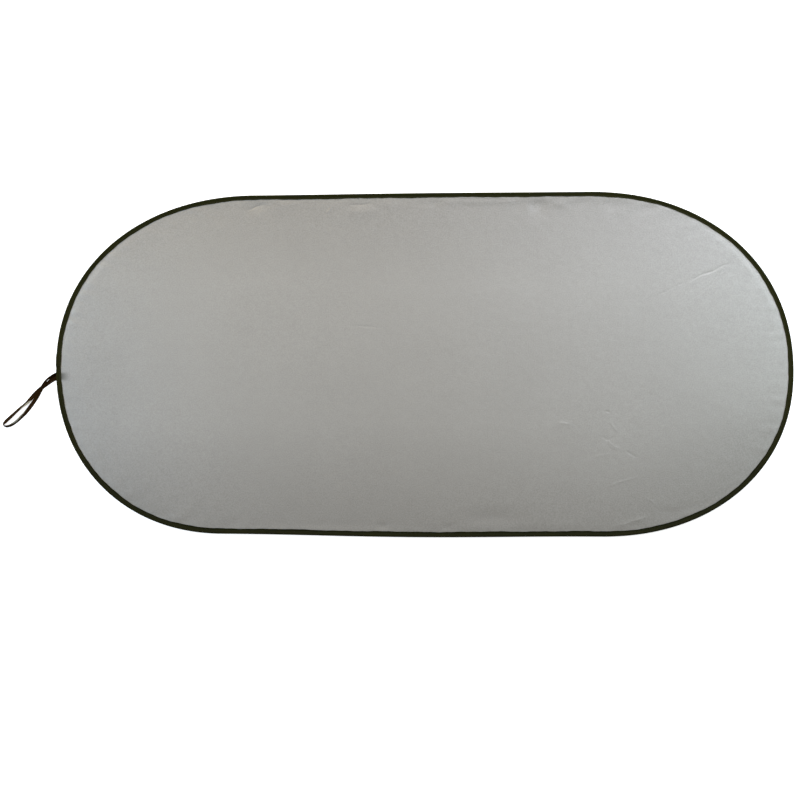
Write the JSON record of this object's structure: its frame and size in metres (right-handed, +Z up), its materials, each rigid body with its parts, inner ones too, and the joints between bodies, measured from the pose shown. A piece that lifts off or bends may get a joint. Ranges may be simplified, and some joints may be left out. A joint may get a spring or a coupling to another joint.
{
  "type": "car sunshade",
  "caption": "Oval pop-up car sunshade of silver-coated cloth on a spring steel hoop, with a dark edge tape and an elastic closing loop, laid open.",
  "frame": {"origin": "on the surface that the open shade lies on, under the middle of its bounding box, the loop included", "axes": "+X along the shade, away from the loop's end; +Y across it, towards the top edge in the picture; +Z up, out of the face that shows"},
  "size_m": [1.6092, 0.7032, 0.0089],
  "materials": {
    "silver_cloth": "thin woven polyester with a silver coating",
    "edge_tape": "matte ribbed woven tape",
    "spring_steel": "bare flat spring strip",
    "sleeve_steel": "crimped sheet steel",
    "thread": "twisted polyester thread",
    "elastic": "flat woven elastic"
  },
  "bodies": {
    "root": {"cloth_panel": "silver_cloth", "edge_tape": "edge_tape", "spring_hoop": "spring_steel", "hoop_sleeve": "sleeve_steel", "seam_thread_front": "thread", "seam_thread_back": "thread", "closing_loop": "elastic"}
  },
  "joints": []
}
